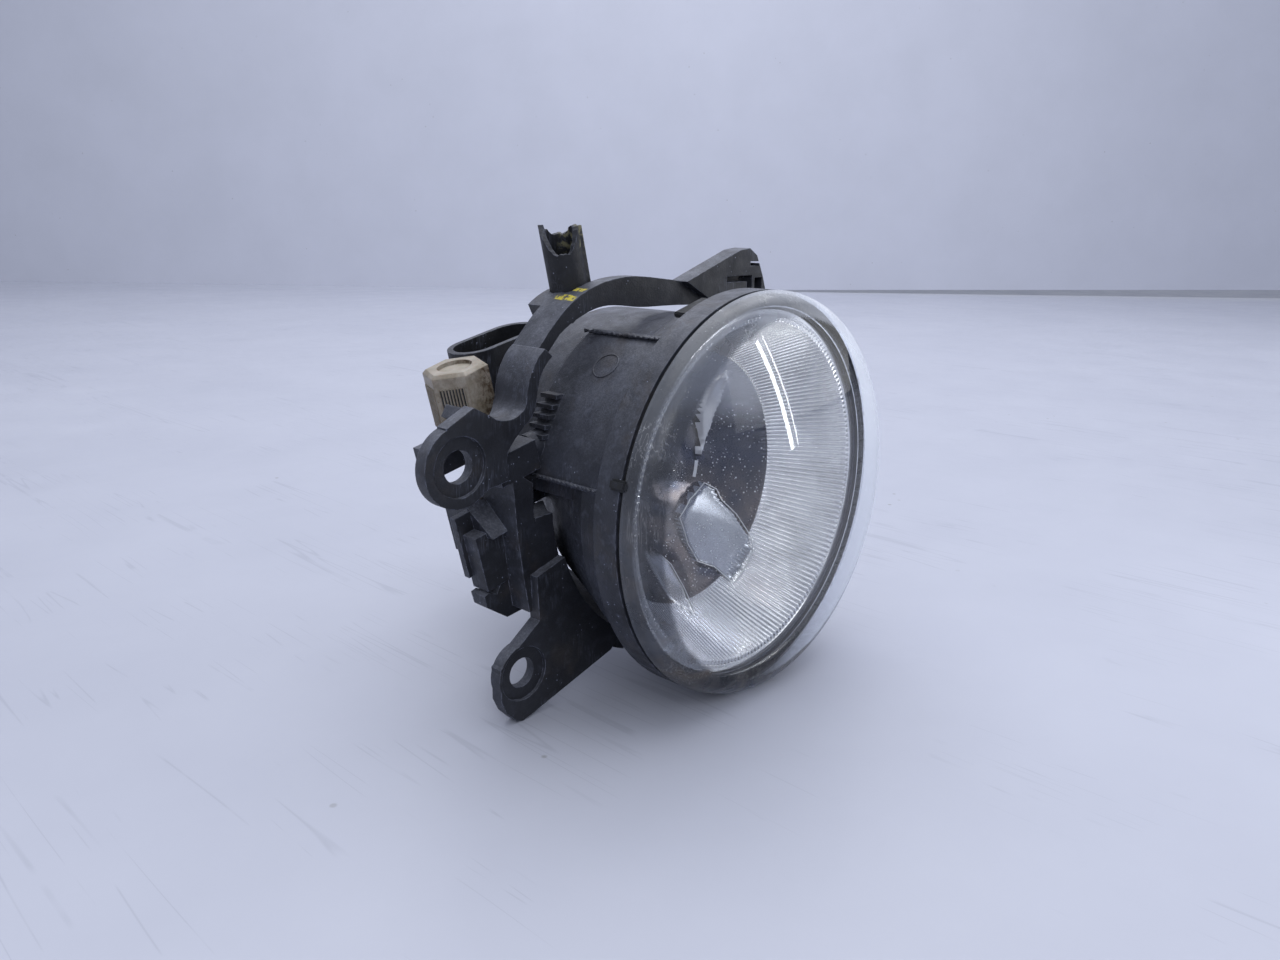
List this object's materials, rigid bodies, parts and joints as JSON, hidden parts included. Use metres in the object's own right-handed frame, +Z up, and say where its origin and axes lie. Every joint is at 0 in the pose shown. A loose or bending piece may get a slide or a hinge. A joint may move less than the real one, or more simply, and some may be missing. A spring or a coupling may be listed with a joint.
{
  "type": "fog lamp",
  "caption": "Round automotive fog lamp with domed lens, plastic housing, tilting mount bracket, height adjuster and twist-lock bulb",
  "frame": {"origin": "on the optical axis, in the middle of the housing's flange rim", "axes": "+Z up as it lies on a bench, the lens faces -Y, +X to the right of the lens seen from the front"},
  "size_m": [0.1314, 0.1032, 0.104],
  "materials": {
    "lens_glass": "clear domed cover, frosted and stained on its shoulder",
    "seal_black": "black elastomer",
    "housing_plastic": "dark moulded plastic, dusty and scuffed",
    "reflector_mirror": "vacuum metallised",
    "bulb_glass": "clear",
    "filament_metal": "drawn wire",
    "steel": "plain zinc plated",
    "connector_plastic": "brown-black moulded plastic",
    "terminal_brass": "tinned blade",
    "filter_felt": "sintered felt",
    "bracket_plastic": "glass-filled plastic, matte and scuffed",
    "knob_nylon": "aged ivory nylon, dirt in its grooves"
  },
  "bodies": {
    "bracket_body": {"bracket": "bracket_plastic", "guide_tube": "bracket_plastic"},
    "lamp": {"lens": "lens_glass", "lens_seal": "seal_black", "housing": "housing_plastic", "reflector": "reflector_mirror", "vent_cap": "seal_black", "vent_filter": "filter_felt", "pivot_pins": "steel"},
    "bulb": {"bulb_glass": "bulb_glass", "bulb_filament": "filament_metal", "bulb_lead_wires": "filament_metal", "bulb_collar": "steel", "bulb_holder": "connector_plastic", "bulb_ring_seal": "seal_black", "connector_terminals": "terminal_brass"},
    "adjuster": {"adjuster_screw": "knob_nylon", "adjuster_washer": "steel", "adjuster_clip": "steel"},
    "nut": {"adjuster_nut": "knob_nylon"}
  },
  "joints": [
    {"name": "lamp_tilt", "type": "hinge", "parent": "bracket_body", "child": "lamp", "pos_m": [0, 0.0265, 0.0223], "axis": [0.9724, 0, 0.2334], "range_deg": [-3, 3]},
    {"name": "nut_slide", "type": "slide", "parent": "bracket_body", "child": "nut", "axis": [-0.2334, 0, 0.9724], "range_m": [-0.0007, 0.0007]},
    {"name": "adjuster_turn", "type": "hinge", "parent": "bracket_body", "child": "adjuster", "pos_m": [-0.044, 0.0375, 0.0003], "axis": [-0.2334, 0, 0.9724], "range_deg": [-170, 170]},
    {"name": "bulb_lock", "type": "hinge", "parent": "lamp", "child": "bulb", "pos_m": [0, 0.06, 0], "axis": [0, 1, 0], "range_deg": [-40, 0]}
  ],
  "couplings": [
    {"joint": "nut_slide", "follows": "lamp_tilt", "m_per_rad": 0.011},
    {"joint": "adjuster_turn", "follows": "lamp_tilt", "ratio": -55.29}
  ]
}
